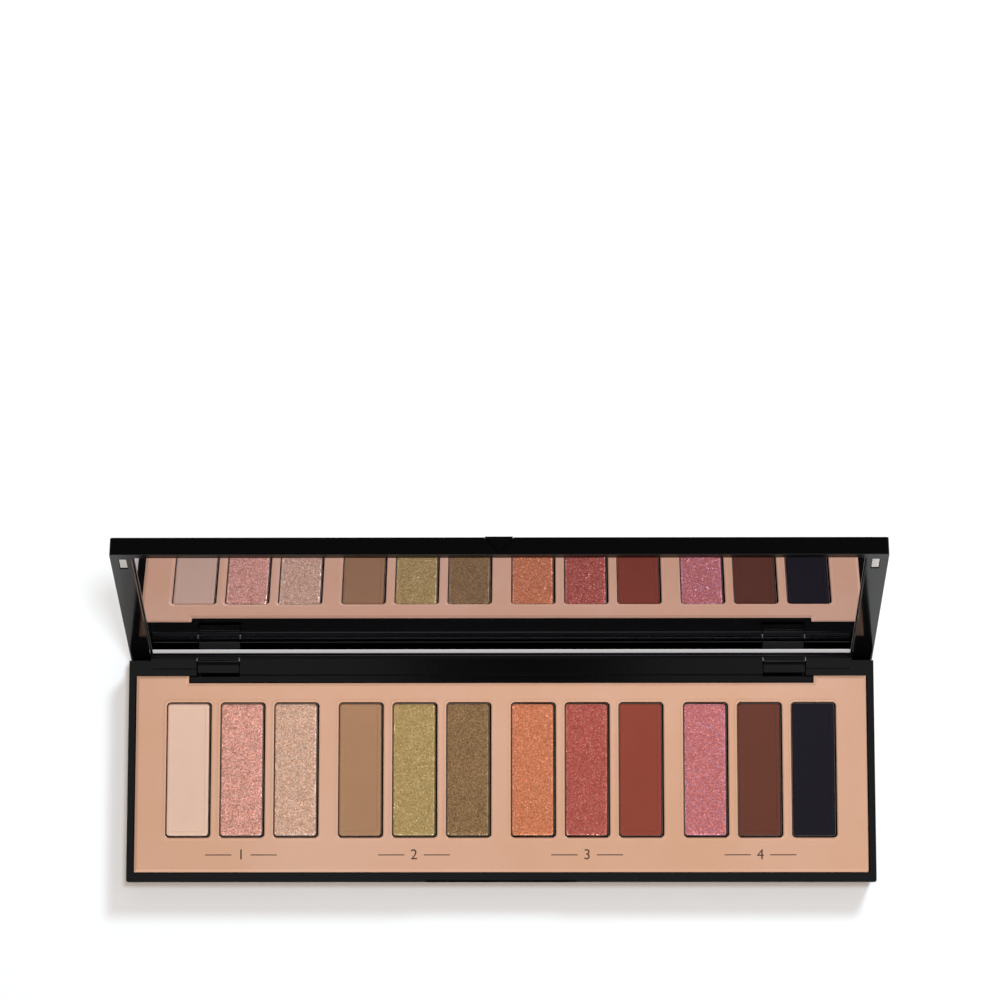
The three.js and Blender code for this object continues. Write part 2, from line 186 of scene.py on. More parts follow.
class Groups:
    """Shader groups that several finishes share, each built once."""

    @staticmethod
    def _start(name: str, inputs: dict[str, float], outputs: dict[str, str]) -> tuple[NodeTree, dict, dict]:
        """Opens a new group with float inputs and typed outputs.

        Args:
            name: The group's name.
            inputs: Each input's name and value.
            outputs: Each output's name and socket type.

        Returns:
            The group's tree, its inputs and its outputs.
        """
        tree = bpy.data.node_groups.new(name, "ShaderNodeTree")
        for key, value in inputs.items():
            socket = tree.interface.new_socket(key, in_out="INPUT", socket_type="NodeSocketFloat")
            socket.default_value = value
        for key, kind in outputs.items():
            tree.interface.new_socket(key, in_out="OUTPUT", socket_type=kind)
        net = NodeTree(tree)
        enter = tree.nodes.new("NodeGroupInput").outputs
        leave = tree.nodes.new("NodeGroupOutput").inputs
        return net, enter, leave

    @classmethod
    @cache
    def edge_wear(cls) -> bpy.types.NodeTree:
        """A mask that is bright along convex edges, broken up by noise.

        Returns:
            The group.
        """
        net, enter, leave = cls._start(
            "edge_wear", {"Radius": 0.0003, "Amount": 1.0, "Breakup": 900.0}, {"Mask": "NodeSocketFloat"})
        rounded = net.node("Bevel", {"samples": 4}, Radius=enter["Radius"]).outputs[0]
        flat = net.node("NewGeometry").outputs["Normal"]
        bend = net.node("VectorMath", {"operation": "DOT_PRODUCT"}, at_0=rounded, at_1=flat).outputs["Value"]
        edge = net.spread(bend, 0.995, 0.86, 0.0, 1.0)
        noise = net.node("TexNoise", Vector=net.place(), Scale=enter["Breakup"], Detail=3.0).outputs[0]
        patchy = net.math("MULTIPLY", edge, net.spread(noise, 0.42, 0.62, 0.15, 1.0))
        net.tree.links.new(net.math("MULTIPLY", patchy, enter["Amount"]), leave["Mask"])
        return net.tree

    @classmethod
    @cache
    def grain(cls) -> bpy.types.NodeTree:
        """A fine moulding or paint grain: a tone round 1, a roughness offset and a height.

        Returns:
            The group.
        """
        net, enter, leave = cls._start(
            "grain", {"Scale": 6000.0, "Clouds": 60.0, "Contrast": 0.1},
            {"Tone": "NodeSocketFloat", "Rough": "NodeSocketFloat", "Height": "NodeSocketFloat"})
        place = net.place()
        fine = net.node("TexNoise", Vector=place, Scale=enter["Scale"], Detail=2.0).outputs[0]
        cloud = net.node(
            "TexNoise", Vector=place, Scale=enter["Clouds"], Detail=4.0, Roughness=0.6).outputs[0]
        both = net.math("ADD", net.math("MULTIPLY", fine, 0.5), net.math("MULTIPLY", cloud, 0.5))
        swing = net.math("MULTIPLY", net.math("SUBTRACT", both, 0.5), enter["Contrast"])
        net.tree.links.new(net.math("ADD", swing, 1.0), leave["Tone"])
        net.tree.links.new(net.math("SUBTRACT", cloud, 0.5), leave["Rough"])
        net.tree.links.new(fine, leave["Height"])
        return net.tree

    @classmethod
    @cache
    def dust(cls) -> bpy.types.NodeTree:
        """A mask of sparse settled specks, small and uneven.

        Returns:
            The group.
        """
        net, enter, leave = cls._start("dust", {"Scale": 700.0, "Amount": 0.5}, {"Mask": "NodeSocketFloat"})
        place = net.place()
        cells = net.node("TexVoronoi", {"feature": "F1"}, Vector=place, Scale=enter["Scale"])
        lucky = net.node("SeparateColor", Color=cells.outputs["Color"]).outputs[0]
        speck = net.spread(cells.outputs["Distance"], 0.05, 0.16, 1.0, 0.0)
        chosen = net.math("GREATER_THAN", lucky, 0.9)
        drift = net.node("TexNoise", Vector=place, Scale=35.0, Detail=3.0).outputs[0]
        patchy = net.spread(drift, 0.45, 0.7, 0.0, 1.0)
        mask = net.math("MULTIPLY", net.math("MULTIPLY", speck, chosen), patchy)
        net.tree.links.new(net.math("MULTIPLY", mask, enter["Amount"]), leave["Mask"])
        return net.tree

    @classmethod
    @cache
    def flakes(cls) -> bpy.types.NodeTree:
        """Pearl flakes in a powder: each cell has its own tone and its own tilt.

        Returns:
            The group.
        """
        net, enter, leave = cls._start(
            "flakes", {"Scale": 4200.0, "Tilt": 0.3, "Sparkle": 0.2},
            {"Tone": "NodeSocketFloat", "Glint": "NodeSocketFloat", "Normal": "NodeSocketVector"})
        place = net.place()
        cells = net.node("TexVoronoi", {"feature": "F1"}, Vector=place, Scale=enter["Scale"])
        chance = net.node("SeparateColor", Color=cells.outputs["Color"])
        drift = net.node("TexNoise", Vector=place, Scale=900.0, Detail=3.0, Roughness=0.6).outputs[0]
        own = net.math("MULTIPLY", chance.outputs[0], 0.8)
        mixed = net.math("ADD", own, net.math("MULTIPLY", drift, 0.4))
        net.tree.links.new(net.math("SUBTRACT", mixed, 0.15), leave["Tone"])
        rare = net.spread(chance.outputs[1], net.math("SUBTRACT", 1.0, enter["Sparkle"]), 1.0, 0.0, 1.0)
        net.tree.links.new(rare, leave["Glint"])
        centred = net.vector("SUBTRACT", at_0=cells.outputs["Color"], at_1=(0.5, 0.5, 0.5))
        lean = net.vector("SCALE", at_0=centred, Scale=enter["Tilt"])
        total = net.vector("ADD", at_0=net.node("NewGeometry").outputs["Normal"], at_1=lean)
        net.tree.links.new(net.vector("NORMALIZE", at_0=total), leave["Normal"])
        return net.tree


class Surface(NodeTree):
    """A material's tree with its Principled shader ready to feed."""

    def __init__(self, name: str, **constants: object) -> None:
        """Starts a material, with uniform values set on the shader's own sockets.

        Args:
            name: The material's name.
            **constants: Socket name, with spaces as underscores, to its value.
        """
        self.material = bpy.data.materials.new(name)
        self.material.use_nodes = True
        super().__init__(self.material.node_tree)
        self.shader = self.tree.nodes["Principled BSDF"]
        for key, value in constants.items():
            self.shader.inputs[key.replace("_", " ")].default_value = value

    def group(self, tree: bpy.types.NodeTree, **inputs: object) -> bpy.types.Node:
        """Places a shared group with this material's own values."""
        return self.node("Group", {"node_tree": tree}, **inputs)

    def set(self, name: str, value: object) -> None:
        """Feeds one of the shader's sockets."""
        self.feed(self.shader, name, value)

    def bump(self, height: object, strength: float, distance: float,
             normal: object = None) -> bpy.types.NodeSocket:
        """Adds a Bump node and returns its normal.

        Args:
            height: The height to read.
            strength: How strongly it bends the normal.
            distance: The height's depth in metres.
            normal: The normal to bend, where it isn't the surface's own.

        Returns:
            The bent normal.
        """
        made = self.node("Bump", Strength=strength, Distance=distance, Height=height)
        if normal is not None:
            self.feed(made, "Normal", normal)
        return made.outputs[0]


# ---- finishes ----


@dataclass(frozen=True)
class GlossCasing:
    """Polished black moulded casing, with faint handling marks and worn edges."""

    name: str = "gloss_casing"
    colour: str = "060607"
    worn: str = "2c2c30"

    def build(self) -> bpy.types.Material:
        """Returns the material."""
        surface = Surface(self.name, IOR=1.37)
        grain = surface.group(Groups.grain(), Scale=2500.0, Clouds=45.0, Contrast=0.25)
        wear = surface.group(Groups.edge_wear(), Radius=0.00025, Amount=0.35)
        dust = surface.group(Groups.dust(), Scale=900.0, Amount=0.12)
        tone = surface.blend(1.0, srgb(self.colour), grain.outputs["Tone"], "MULTIPLY")
        worn = surface.blend(wear.outputs["Mask"], tone, srgb(self.worn))
        surface.set("Base Color", surface.blend(dust.outputs["Mask"], worn, srgb("8a8580")))
        clouds = surface.spread(grain.outputs["Rough"], -0.3, 0.3, 0.06, 0.13)
        worn_rough = surface.math("MULTIPLY", wear.outputs["Mask"], 0.35)
        dust_rough = surface.math("MULTIPLY", dust.outputs["Mask"], 0.5)
        surface.set("Roughness", surface.math("ADD", surface.math("ADD", clouds, worn_rough), dust_rough))
        surface.set("Normal", surface.bump(grain.outputs["Rough"], 0.12, 0.00002))
        return surface.material


@dataclass(frozen=True)
class SatinMoulding:
    """Black inner moulding with a slight orange-peel ripple, as used for the hinge deck and the tray."""

    name: str = "inner_moulding"
    colour: str = "040405"

    def build(self) -> bpy.types.Material:
        """Returns the material."""
        surface = Surface(self.name, IOR=1.34)
        grain = surface.group(Groups.grain(), Scale=9000.0, Clouds=80.0, Contrast=0.5)
        wear = surface.group(Groups.edge_wear(), Radius=0.0002, Amount=0.3)
        tone = surface.blend(1.0, srgb(self.colour), grain.outputs["Tone"], "MULTIPLY")
        ripple = surface.node("TexNoise", Vector=surface.place(), Scale=1100.0, Detail=1.0).outputs[0]
        surface.set("Base Color", surface.blend(wear.outputs["Mask"], tone, srgb("242426")))
        surface.set("Roughness", surface.spread(grain.outputs["Height"], *NOISE, 0.09, 0.16))
        surface.set("Normal", surface.bump(ripple, 0.12, 0.00004))
        return surface.material


@dataclass(frozen=True)
class PeachLacquer:
    """Satin peach lacquer on the face plate, with a trace of powder fallout."""

    name: str = "peach_lacquer"
    colour: str = "deb095"
    warm: str = "d8a687"

    def build(self) -> bpy.types.Material:
        """Returns the material."""
        surface = Surface(self.name, IOR=1.5, Coat_Weight=0.35, Coat_Roughness=0.09)
        grain = surface.group(Groups.grain(), Scale=7000.0, Clouds=28.0, Contrast=0.16)
        dust = surface.group(Groups.dust(), Scale=1100.0, Amount=0.25)
        cloud = surface.spread(grain.outputs["Rough"], -0.16, 0.16, 0.0, 1.0)
        base = surface.blend(cloud, srgb(self.colour), srgb(self.warm))
        toned = surface.blend(1.0, base, grain.outputs["Tone"], "MULTIPLY")
        surface.set("Base Color", surface.blend(dust.outputs["Mask"], toned, srgb("b98a70")))
        surface.set("Roughness", surface.spread(grain.outputs["Height"], *NOISE, 0.3, 0.4))
        surface.set("Metallic", surface.spread(grain.outputs["Height"], 0.4, 0.8, 0.05, 0.14))
        surface.set("Normal", surface.bump(grain.outputs["Height"], 0.12, 0.00002))
        return surface.material


@dataclass(frozen=True)
class PressedPowder:
    """One pressed shade: its mean colour, its light flakes and how far the flakes stray from the mean."""

    name: str
    colour: str
    effect: Effect
    pearl: str = "ffffff"
    contrast: float = 0.3

    def build(self) -> bpy.types.Material:
        """Returns the material."""
        matte = self.effect is Effect.MATTE
        surface = Surface(f"powder_{self.name}", IOR=1.2 if matte else 1.4, Diffuse_Roughness=1.0,
                          Sheen_Weight=0.03, Sheen_Roughness=0.6)
        if matte:
            return self._pressed_flat(surface)
        coarse = self.effect is Effect.SHIMMER
        flakes = surface.group(
            Groups.flakes(), Scale=4900.0 if coarse else 5600.0, Tilt=0.5 if coarse else 0.35,
            Sparkle=0.14 if coarse else 0.06)
        deep = self._shade(1.0 - self.contrast, 1.12)
        light = self._shade(1.0 + self.contrast, 0.92)
        toned = surface.blend(surface.spread(flakes.outputs["Tone"], 0.15, 0.85, 0.0, 1.0), deep, light)
        normal = surface.node("NewGeometry").outputs["Normal"]
        # The sloped shoulders are burnished, with lower roughness and more metal, and their colour is also
        # paled toward the pearl as a painted highlight along the powder's edge. Rare glint flakes are paled
        # toward the pearl as painted glints.
        shoulder = surface.spread(surface.node("SeparateXYZ", Vector=normal).outputs[2], 0.985, 0.9, 0.0, 1.0)
        smooth = surface.spread(flakes.outputs["Tone"], 0.35, 0.6, 0.0, 0.8)
        pressed = surface.math("MULTIPLY", shoulder, smooth)
        glint = surface.math("MULTIPLY", flakes.outputs["Glint"], 0.7 if coarse else 0.4)
        pale = surface.math("MAXIMUM", glint, surface.math("MULTIPLY", pressed, 0.7))
        surface.set("Base Color", surface.blend(pale, toned, srgb(self.pearl)))
        pearly = surface.spread(flakes.outputs["Tone"], 0.3, 0.9, 0.2, 0.5)
        surface.set("Metallic", surface.math("MAXIMUM", pearly, pressed))
        rough = surface.spread(flakes.outputs["Glint"], 0.0, 1.0, 0.52, 0.3)
        surface.set("Roughness", surface.math("SUBTRACT", rough, surface.math("MULTIPLY", pressed, 0.2)))
        surface.set("Normal", surface.bump(flakes.outputs["Tone"], 0.25, 0.00005, flakes.outputs["Normal"]))
        return surface.material

    def _shade(self, gain: float, richness: float) -> Colour:
        """Returns the mean colour made lighter or darker, and richer or paler.

        Args:
            gain: A factor on the colour.
            richness: A factor on its distance from grey.

        Returns:
            The colour.
        """
        red, green, blue, alpha = srgb(self.colour)
        grey = (red + green + blue) / 3
        rich = [max(0.0, grey + (c - grey) * richness) * gain for c in (red, green, blue)]
        return (rich[0], rich[1], rich[2], alpha)

    def _pressed_flat(self, surface: Surface) -> bpy.types.Material:
        """Finishes a matte shade: a dry, even face with a very fine tooth.

        Args:
            surface: The material to finish.

        Returns:
            The material.
        """
        grain = surface.group(Groups.grain(), Scale=5200.0, Clouds=160.0, Contrast=0.2)
        toned = surface.blend(1.0, srgb(self.colour), grain.outputs["Tone"], "MULTIPLY")
        surface.set("Base Color", toned)
        surface.set("Roughness", surface.spread(grain.outputs["Height"], *NOISE, 0.82, 0.95))
        surface.set("Normal", surface.bump(grain.outputs["Height"], 0.35, 0.00004))
        return surface.material


@dataclass(frozen=True)
class BareMetal:
    """Bare or plated metal with fine drawn lines."""

    name: str
    colour: str
    roughness: float
    stretch: Triple = (0.05, 1.0, 1.0)

    def build(self) -> bpy.types.Material:
        """Returns the material."""
        surface = Surface(self.name, Metallic=1.0)
        drawn = surface.node("Mapping", Vector=surface.place(), Scale=self.stretch).outputs[0]
        lines = surface.node("TexNoise", Vector=drawn, Scale=9000.0, Detail=3.0).outputs[0]
        wear = surface.group(Groups.edge_wear(), Radius=0.0001, Amount=0.5)
        tone = surface.blend(1.0, srgb(self.colour), surface.spread(lines, *NOISE, 0.82, 1.0), "MULTIPLY")
        surface.set("Base Color", surface.blend(wear.outputs["Mask"], tone, srgb("f2f2f2")))
        surface.set("Roughness", surface.spread(lines, *NOISE, self.roughness * 0.75, self.roughness * 1.3))
        surface.set("Normal", surface.bump(lines, 0.1, 0.00001))
        return surface.material


@dataclass(frozen=True)
class SilveredGlass:
    """The mirror's face, with a breath of haze towards its edges."""

    name: str = "silvered_glass"

    def build(self) -> bpy.types.Material:
        """The mirror's face, with a breath of uneven haze."""
        surface = Surface(self.name, Metallic=1.0)
        haze = surface.node("TexNoise", Vector=surface.place(), Scale=30.0, Detail=5.0).outputs[0]
        hazy = surface.spread(haze, 0.5, 0.8, 0.0, 0.3)
        surface.set("Base Color", surface.blend(hazy, srgb("dedbe3"), srgb("d4d2da")))
        surface.set("Roughness", surface.spread(haze, 0.5, 0.8, 0.004, 0.02))
        return surface.material


@dataclass(frozen=True)
class GroundGlass:
    """The mirror's seamed edge, ground to a pale, grainy matt finish. With a glow above zero it also emits a
    painted glow that stands in for the light inside the glass.
    """

    name: str = "ground_glass_painted_glow"
    glow: float = 0.5

    def build(self) -> bpy.types.Material:
        """Returns the material."""
        surface = Surface(self.name, IOR=1.5, Emission_Strength=self.glow)
        grain = surface.group(Groups.grain(), Scale=8000.0, Clouds=500.0, Contrast=0.12)
        frost_and_glow = surface.blend(1.0, srgb("fbf9f7"), grain.outputs["Tone"], "MULTIPLY")
        surface.set("Base Color", frost_and_glow)
        # The emission is a painted glow in the same pale colour, as strong as glow.
        surface.set("Emission Color", frost_and_glow)
        surface.set("Roughness", surface.spread(grain.outputs["Height"], *NOISE, 0.35, 0.6))
        surface.set("Normal", surface.bump(grain.outputs["Height"], 0.3, 0.00003))
        return surface.material


@dataclass(frozen=True)
class DullStock:
    """Paper, foam tape or printing ink: a dry surface with a soft fibre."""

    name: str
    colour: str
    roughness: float = 0.8
    contrast: float = 0.15

    def build(self) -> bpy.types.Material:
        """Returns the material."""
        surface = Surface(self.name, IOR=1.45)
        grain = surface.group(Groups.grain(), Scale=3000.0, Clouds=120.0, Contrast=self.contrast)
        surface.set("Base Color", surface.blend(1.0, srgb(self.colour), grain.outputs["Tone"], "MULTIPLY"))
        low, high = self.roughness * 0.92, min(1.0, self.roughness * 1.08)
        surface.set("Roughness", surface.spread(grain.outputs["Height"], *NOISE, low, high))
        surface.set("Normal", surface.bump(grain.outputs["Height"], 0.2, 0.00003))
        return surface.material


SHADES = (
    PressedPowder("cream", "e6c9b5", Effect.MATTE),
    PressedPowder("rose_shimmer", "dfa290", Effect.SHIMMER, "ffece6", 0.45),
    PressedPowder("champagne_shimmer", "d8af95", Effect.SHIMMER, "fffcf6", 0.32),
    PressedPowder("tan", "b38b69", Effect.MATTE),
    PressedPowder("olive_gold", "b49860", Effect.SHIMMER, "f0e6b0", 0.24),
    PressedPowder("olive_brown", "947249", Effect.SATIN, "d8c09c", 0.5),
    PressedPowder("copper_orange", "d07e56", Effect.SHIMMER, "ffd0ac", 0.24),
    PressedPowder("coral_red", "b35448", Effect.SHIMMER, "ffc0b0", 0.22),
    PressedPowder("brick", "994b3b", Effect.MATTE),
    PressedPowder("violet_pink", "c77472", Effect.SHIMMER, "e8ccf8", 0.18),
    PressedPowder("dark_brown", "714134", Effect.MATTE),
    PressedPowder("blue_black", "1f1c25", Effect.MATTE),
)


# ---- meshes ----


class Shape:
    """A bmesh in millimetres that ends as one placed, shaded object."""

    def __init__(self) -> None:
        """Starts empty."""
        self.bm = bmesh.new()

    def tile(self, low: Pair, high: Pair, z: float,
             radius: float = 0.0, segments: int = 8) -> bmesh.types.BMFace:
        """Lays one flat rectangle with rounded corners.

        Args:
            low: Its lowest X and Y.
            high: Its highest X and Y.
            z: Its height.
            radius: The corner radius.
            segments: Faces round each corner.

        Returns:
            The face, which looks up.
        """
        made = bmesh.ops.create_grid(self.bm, x_segments=1, y_segments=1, size=0.5)["verts"]
        size = (high[0] - low[0], high[1] - low[1], 1.0)
        middle = ((low[0] + high[0]) / 2, (low[1] + high[1]) / 2, z)
        bmesh.ops.scale(self.bm, vec=size, verts=made)
        bmesh.ops.translate(self.bm, vec=middle, verts=made)
        face = made[0].link_faces[0]
        if radius > 0:
            cut = bmesh.ops.bevel(
                self.bm, geom=made, offset=radius, offset_type="OFFSET", segments=segments,
                profile=0.5, affect="VERTICES", material=-1)
            face = max(cut["verts"][0].link_faces, key=lambda f: f.calc_area())
        return face

    def loft(self, low: Pair, high: Pair,
             rings: list[Triple], segments: int = 8) -> None:
        """Joins a stack of rounded rectangles into one closed solid.

        Args:
            low: The outline's lowest X and Y.
            high: Its highest X and Y.
            rings: Inset, height and corner radius of each rectangle, along the surface from end to end.
            segments: Faces round each corner.
        """
        loops = []
        for index, (inset, z, radius) in enumerate(rings):
            near, far = (low[0] + inset, low[1] + inset), (high[0] - inset, high[1] - inset)
            face = self.tile(near, far, z, radius, segments)
            loops.append(list(face.edges))
            if 0 < index < len(rings) - 1:
                self.bm.faces.remove(face)
        for first, second in zip(loops, loops[1:]):
            bmesh.ops.bridge_loops(self.bm, edges=first + second)

    def bevel(self, radius: float, segments: int = 2, angle: float = 40.0, least: float = 0.0) -> None:
        """Rounds every edge that bends by more than an angle, in degrees, and is long enough.

        Args:
            radius: The rounding in millimetres.
            segments: Faces across it.
            angle: The bend that counts as an edge.
            least: The length that an edge must pass.
        """
        sharp = [e for e in self.bm.edges if e.is_manifold and e.calc_length() > least
                 and e.calc_face_angle(0.0) > math.radians(angle)]
        bmesh.ops.bevel(self.bm, geom=sharp, offset=radius, offset_type="OFFSET", segments=segments,
                        profile=0.5, affect="EDGES", clamp_overlap=True, material=-1)

    def object(self, name: str, place: Matrix | None = None, recalc: bool = True,
               sharp: float = 38.0) -> Piece:
        """Ends the shape as an object at the origin, with its place in its mesh.

        Args:
            name: The piece's name.
            place: Where the millimetre shape goes, in the row frame's metres.
            recalc: Whether the faces are turned outwards.
            sharp: Faces that meet at more than this many degrees keep a sharp edge.

        Returns:
            The new object.
        """
        if recalc:
            bmesh.ops.recalc_face_normals(self.bm, faces=self.bm.faces)
        self.bm.transform((place or Matrix.Identity(4)) @ Matrix.Scale(MM, 4))
        mesh = bpy.data.meshes.new(name)
        self.bm.to_mesh(mesh)
        self.bm.free()
        mesh.shade_smooth()
        steady_normals(mesh, math.radians(sharp))
        made = bpy.data.objects.new(name, mesh)
        bpy.context.scene.collection.objects.link(made)
        return made


def steady_normals(mesh: bpy.types.Mesh, angle: float) -> None:
    """Shades rounded edges smoothly while the flat faces beside them stay flat.

    Args:
        mesh: The mesh to shade.
        angle: Faces that meet at more than this keep a sharp edge.
    """
    around: list[list[tuple[Vector, Vector]]] = [[] for _ in mesh.vertices]
    for polygon in mesh.polygons:
        normal = polygon.normal.copy()
        for index in polygon.vertices:
            around[index].append((normal, normal * polygon.area))
    limit = math.cos(angle)
    normals = []
    for polygon in mesh.polygons:
        own = polygon.normal.copy()
        for index in polygon.vertices:
            near = [weighted for normal, weighted in around[index] if normal.dot(own) > limit]
            normals.append(sum(near, Vector()).normalized())
    mesh.normals_split_custom_set(normals)


def cad_box(node: str) -> tuple[Vector, Vector]:
    """Returns a CAD node's lowest and highest corner at rest, in millimetres."""
    low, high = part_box(node)
    return low / MM, high / MM


def refined_copy(node: str, name: str, radius: float) -> Piece:
    """Copies a CAD solid as clean faces with rounded edges.

    Args:
        node: The CAD node.
        name: The new piece's name.
        radius: The edge radius in millimetres.

    Returns:
        The new object, in the node's place.
    """
    shape = Shape()
    shape.bm.from_mesh(frame["nodes"][node].data)
    shape.bm.transform(Matrix.Scale(1 / MM, 4))
    bmesh.ops.remove_doubles(shape.bm, verts=shape.bm.verts, dist=MERGE)
    bmesh.ops.dissolve_limit(shape.bm, angle_limit=COPLANAR, verts=shape.bm.verts, edges=shape.bm.edges)
    if radius > 0:
        shape.bevel(radius)
    return shape.object(name, recalc=False)


def dress(piece: Piece, material: bpy.types.Material, body: Body, slot: str,
          *nodes: str) -> Piece:
    """Gives a piece its finish, its body and the CAD nodes that it stands for.

    Args:
        piece: The piece.
        material: Its finish.
        body: The body that it rides on.
        slot: Its finish slot.
        *nodes: The CAD nodes that it replaces.

    Returns:
        The piece.
    """
    piece.data.materials.clear()
    piece.data.materials.append(material)
    return attach(piece, body, slot, *nodes)


def attach(piece: Piece, body: Body, slot: str, *nodes: str) -> Piece:
    """Puts a piece that already has its finishes on its body, and hides the CAD nodes that it replaces.

    Args:
        piece: The piece.
        body: The body that it rides on.
        slot: Its finish slot; not used.
        *nodes: The CAD nodes that it replaces.

    Returns:
        The piece.
    """
    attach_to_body(piece, body.value)
    if nodes:
        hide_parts(*nodes)
    LOG.info("%s rides on %s for %s", piece.name, body.value, ", ".join(nodes) or "no node")
    return piece


# ---- sub-assemblies ----


@dataclass
class Casing:
    """The black mouldings: base shell, lid shell, hinge deck, tray and thumb tab."""

    edge: float = 0.12
    tab_edge: float = 0.16

    def build(self) -> list[Piece]:
        """Builds and dresses the mouldings.

        Returns:
            The pieces.
        """
        gloss = GlossCasing().build()
        satin = SatinMoulding().build()
        return [
            dress(refined_copy(node, name, edge), finish, body, slot, node)
            for node, name, edge, finish, body, slot in (
                ("base_shell", "base_case", self.edge, gloss, Body.BASE, "casing_gloss"),
                ("lid_shell", "lid_case", self.edge, gloss, Body.LID, "casing_gloss"),
                ("hinge_deck", "hinge_cover", self.edge, satin, Body.BASE, "inner_satin"),
                ("pan_tray", "pan_carrier", 0.0, satin, Body.BASE, "inner_satin"),
                ("thumb_tab", "tab_triangle", self.tab_edge, gloss, Body.LID, "casing_gloss"))
        ]


@dataclass
class Plate:
    """The peach face plate with its bevelled border and a soft bead round each window."""

    window: Pair = (11.25, 33.85)
    window_radius: float = 1.0
    pan_shift: float = 0.1
    border: float = 0.7
    border_drop: float = 0.29
    notch_half: float = 78.05
    notch_depth: float = 1.8
    middle_area: float = 1000.0
    bead: tuple[Pair, ...] = (
        (0.0, 0.0), (0.2, 0.012), (0.4, 0.045), (0.54, 0.075),
        (0.64, 0.08), (0.76, 0.05), (0.88, -0.03), (0.96, -0.12))

    def window_centres(self) -> list[Pair]:
        """Returns each window's centre, found from the pan that sits in it."""
        centres = []
        for index in range(len(SHADES)):
            low, high = cad_box(f"pan_{index + 1:02d}")
            middle = (low + high) / 2
            centres.append((middle.x + self.pan_shift, middle.y - self.pan_shift))
        return centres

    def build(self) -> Piece:
        """Builds and dresses the plate.

        Returns:
            The piece.
        """
        low, high = cad_box("face_plate")
        shape = Shape()
        rim = self._outline(shape, low, high)
        centres = self.window_centres()
        loops = [self._window_loop(shape, centre, high.z) for centre in centres]
        flat = rim + [edge for loop in loops for edge in loop]
        bmesh.ops.triangle_fill(shape.bm, edges=flat, use_beauty=True)
        for loop, centre in zip(loops, centres):
            self._bead(shape, loop, centre, low.z, high.z)
        plate = shape.object("face_panel", sharp=18.0)
        return dress(plate, PeachLacquer().build(), Body.BASE, "plate_lacquer", "face_plate")

    def _outline(self, shape: Shape, low: Vector, high: Vector) -> list[bmesh.types.BMEdge]:
        """Makes the border, the edge wall and the notch, and leaves the flat middle open.

        Args:
            shape: The plate so far.
            low: The plate's lowest corner.
            high: Its highest corner.

        Returns:
            The edges of the flat middle's outer boundary.
        """
        bm = shape.bm
        shape.tile((low.x, low.y), (high.x, high.y), high.z)
        notch_y = high.y - self.notch_depth
        across, along = (1, 0, 0), (0, 1, 0)
        for point, normal in (((self.notch_half, 0, 0), across), ((-self.notch_half, 0, 0), across),
                              ((0, notch_y, 0), along)):
            geometry = bm.verts[:] + bm.edges[:] + bm.faces[:]
            bmesh.ops.bisect_plane(bm, geom=geometry, plane_co=point, plane_no=normal)
        gone = [f for f in bm.faces
                if abs(f.calc_center_median().x) < self.notch_half and f.calc_center_median().y > notch_y]
        bmesh.ops.delete(bm, geom=gone, context="FACES")
        bmesh.ops.dissolve_faces(bm, faces=bm.faces[:])
        bmesh.ops.dissolve_limit(bm, angle_limit=0.01, verts=bm.verts[:], edges=bm.edges[:])
        middle = bm.faces[:]
        ring = bmesh.ops.inset_region(
            bm, faces=middle, thickness=self.border, use_even_offset=True, use_boundary=True)["faces"]
        outer = [v for v in bm.verts if v.is_boundary]
        for vert in outer:
            vert.co.z -= self.border_drop
        edges = [e for e in bm.edges if e.is_boundary]
        wall = bmesh.ops.extrude_edge_only(bm, edges=edges)["geom"]
        for vert in (g for g in wall if isinstance(g, bmesh.types.BMVert)):
            vert.co.z = low.z
        inner = [f for f in bm.faces
                 if f not in ring and abs(f.normal.z) > 0.99 and f.calc_area() > self.middle_area]
        rim = [e for f in inner for e in f.edges]
        for face in inner:
            bm.faces.remove(face)
        return rim

    def _window_loop(self, shape: Shape, centre: Pair, z: float) -> list[bmesh.types.BMEdge]:
        """Lays the outer loop of a window's bead and returns its edges.

        Args:
            shape: The plate so far.
            centre: The window's centre.
            z: The plate's face.

        Returns:
            The loop's edges.
        """
        grow = self.bead[-1][0]
        half = (self.window[0] / 2 + grow, self.window[1] / 2 + grow)
        face = shape.tile(
            (centre[0] - half[0], centre[1] - half[1]), (centre[0] + half[0], centre[1] + half[1]), z,
            self.window_radius + grow, 10)
        edges = list(face.edges)
        shape.bm.faces.remove(face)
        return edges

    def _bead(self, shape: Shape, loop: list[bmesh.types.BMEdge], centre: Pair,
              floor: float, top: float) -> None:
        """Draws the bead inwards from its outer loop, then the window's wall down to the plate's back.

        Args:
            shape: The plate so far.
            loop: The bead's outer edges.
            centre: The window's centre.
            floor: The plate's back.
            top: The plate's face.
        """
        grow = self.bead[-1][0]
        radius = self.window_radius + grow
        core = (self.window[0] / 2 + grow - radius, self.window[1] / 2 + grow - radius)
        heights = [(b[0] - a[0], top + b[1]) for a, b in zip(self.bead, self.bead[1:])] + [(0.0, floor)]
        for step, z in heights:
            made = bmesh.ops.extrude_edge_only(shape.bm, edges=loop)["geom"]
            for vert in (g for g in made if isinstance(g, bmesh.types.BMVert)):
                near = Vector((max(-core[0], min(core[0], vert.co.x - centre[0])) + centre[0],
                               max(-core[1], min(core[1], vert.co.y - centre[1])) + centre[1]))
                out = (vert.co.xy - near).normalized()
                vert.co.x -= out.x * step
                vert.co.y -= out.y * step
                vert.co.z = z
            loop = [g for g in made if isinstance(g, bmesh.types.BMEdge) and g.is_boundary]


